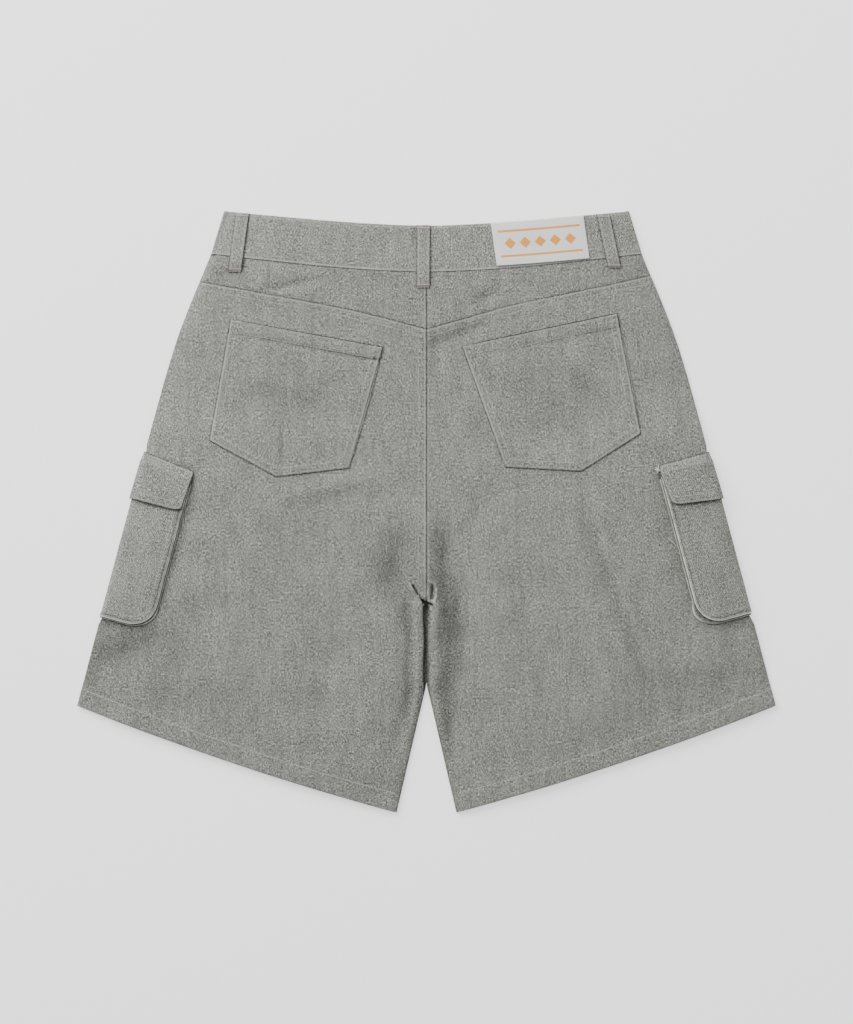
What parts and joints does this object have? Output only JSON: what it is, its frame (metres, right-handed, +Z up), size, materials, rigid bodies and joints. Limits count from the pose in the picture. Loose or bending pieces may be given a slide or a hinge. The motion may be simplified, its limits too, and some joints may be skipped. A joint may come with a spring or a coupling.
{
  "type": "cargo shorts laid flat",
  "caption": "Wide cotton twill cargo shorts laid flat with the back up: yoke, belt loops, seat patch pockets and flapped bellows pockets round the side seams.",
  "frame": {"origin": "middle of the garment's outline, on the surface it lies on", "axes": "+Z up off the surface, out of the back of the garment; +Y towards the waist; +X towards the wearer's right leg"},
  "size_m": [0.7, 0.602, 0.0154],
  "materials": {
    "twill": "matte melange cotton twill",
    "thread": "matte sewing thread",
    "patch": "smooth coated patch",
    "zip_tape": "woven tape",
    "metal": "brushed nickel"
  },
  "bodies": {
    "root": {"back_left": "twill", "back_right": "twill", "front_left": "twill", "front_right": "twill", "yoke_left": "twill", "yoke_right": "twill", "back_pocket_left": "twill", "back_pocket_right": "twill", "cargo_pocket_left": "twill", "cargo_pocket_right": "twill", "cargo_flap_left": "twill", "cargo_flap_right": "twill", "cargo_gusset_left": "twill", "cargo_gusset_right": "twill", "waistband": "twill", "belt_loop_back_centre": "twill", "belt_loop_back_left": "twill", "belt_loop_back_right": "twill", "belt_loop_front_left": "twill", "belt_loop_front_right": "twill", "patch": "patch", "zip": "zip_tape", "zip_slider": "metal", "waist_button": "metal"}
  },
  "joints": []
}
